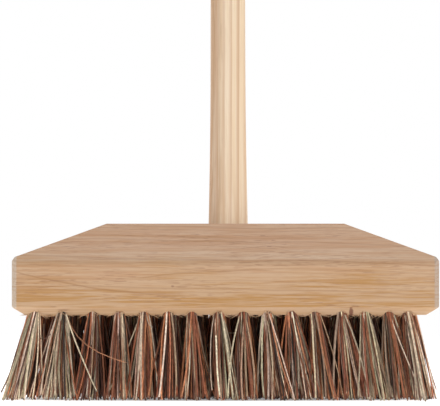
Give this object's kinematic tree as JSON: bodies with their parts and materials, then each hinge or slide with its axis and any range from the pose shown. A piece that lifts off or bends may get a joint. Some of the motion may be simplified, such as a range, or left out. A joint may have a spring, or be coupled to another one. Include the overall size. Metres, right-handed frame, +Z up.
{
  "type": "deck brush",
  "caption": "Long-handled deck scrubbing brush: a gabled hardwood block with stiff mixed fibre tufts under it and a round wooden stick leaning back from its rear slope.",
  "frame": {"origin": "on the floor, at the middle of the whole brush's footprint: midway across the head, and midway between the front bristle tips and the handle's top end", "axes": "+Z up from the floor; +Y back, the way the handle leans; -Y out of the block's front face; +X along the block, to the right when seen from the front"},
  "size_m": [0.3068, 0.8652, 0.9986],
  "materials": {
    "block_wood": "planed and sanded bare hardwood",
    "handle_wood": "sanded bare pale wood",
    "screw_steel": "zinc plated",
    "bristle_fibre": "stiff plant fibre, mixed cream, rust and dark brown"
  },
  "bodies": {
    "root": {"block": "block_wood", "handle": "handle_wood", "handle_screw": "screw_steel", "tuft_column_01": "bristle_fibre", "tuft_column_02": "bristle_fibre", "tuft_column_03": "bristle_fibre", "tuft_column_04": "bristle_fibre", "tuft_column_05": "bristle_fibre", "tuft_column_06": "bristle_fibre", "tuft_column_07": "bristle_fibre", "tuft_column_08": "bristle_fibre", "tuft_column_09": "bristle_fibre", "tuft_column_10": "bristle_fibre", "tuft_column_11": "bristle_fibre", "tuft_column_12": "bristle_fibre", "tuft_column_13": "bristle_fibre", "tuft_column_14": "bristle_fibre", "tuft_column_15": "bristle_fibre", "tuft_column_16": "bristle_fibre"}
  },
  "joints": []
}
